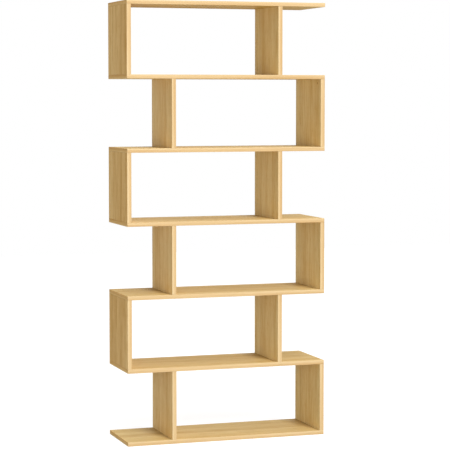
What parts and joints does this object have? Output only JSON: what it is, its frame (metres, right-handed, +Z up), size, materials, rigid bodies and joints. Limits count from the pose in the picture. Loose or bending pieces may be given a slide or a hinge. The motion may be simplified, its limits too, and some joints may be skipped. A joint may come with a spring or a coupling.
{
  "type": "bookcase",
  "caption": "Tall open bookcase of light oak veneered board, with full-width shelves and uprights that alternate from tier to tier, open at the back.",
  "frame": {"origin": "middle of the footprint, on the floor under the base shelf", "axes": "+X along the width, to the right as seen from the front; the front faces -Y; +Z up"},
  "size_m": [0.92, 0.315, 1.95],
  "materials": {
    "oak_shelf": "satin lacquered light oak veneer, grain along the width",
    "oak_upright": "satin lacquered light oak veneer, grain upright",
    "zinc_fitting": "die-cast zinc cam nut with a plated steel bolt"
  },
  "bodies": {
    "root": {"top_shelf": "oak_shelf", "shelf_2": "oak_shelf", "shelf_3": "oak_shelf", "shelf_4": "oak_shelf", "shelf_5": "oak_shelf", "shelf_6": "oak_shelf", "base_shelf": "oak_shelf", "upright_1_outer_left": "oak_upright", "upright_1_inner_right": "oak_upright", "upright_2_inner_left": "oak_upright", "upright_2_outer_right": "oak_upright", "upright_3_outer_left": "oak_upright", "upright_3_inner_right": "oak_upright", "upright_4_inner_left": "oak_upright", "upright_4_outer_right": "oak_upright", "upright_5_outer_left": "oak_upright", "upright_5_inner_right": "oak_upright", "upright_6_inner_left": "oak_upright", "upright_6_outer_right": "oak_upright", "cam_fitting_1_outer_left_upper": "zinc_fitting", "cam_fitting_1_outer_left_lower": "zinc_fitting", "cam_fitting_1_inner_right_upper": "zinc_fitting", "cam_fitting_1_inner_right_lower": "zinc_fitting", "cam_fitting_2_inner_left_upper": "zinc_fitting", "cam_fitting_2_inner_left_lower": "zinc_fitting", "cam_fitting_2_outer_right_upper": "zinc_fitting", "cam_fitting_2_outer_right_lower": "zinc_fitting", "cam_fitting_3_outer_left_upper": "zinc_fitting", "cam_fitting_3_outer_left_lower": "zinc_fitting", "cam_fitting_3_inner_right_upper": "zinc_fitting", "cam_fitting_3_inner_right_lower": "zinc_fitting", "cam_fitting_4_inner_left_upper": "zinc_fitting", "cam_fitting_4_inner_left_lower": "zinc_fitting", "cam_fitting_4_outer_right_upper": "zinc_fitting", "cam_fitting_4_outer_right_lower": "zinc_fitting", "cam_fitting_5_outer_left_upper": "zinc_fitting", "cam_fitting_5_outer_left_lower": "zinc_fitting", "cam_fitting_5_inner_right_upper": "zinc_fitting", "cam_fitting_5_inner_right_lower": "zinc_fitting", "cam_fitting_6_inner_left_upper": "zinc_fitting", "cam_fitting_6_inner_left_lower": "zinc_fitting", "cam_fitting_6_outer_right_upper": "zinc_fitting", "cam_fitting_6_outer_right_lower": "zinc_fitting"}
  },
  "joints": []
}
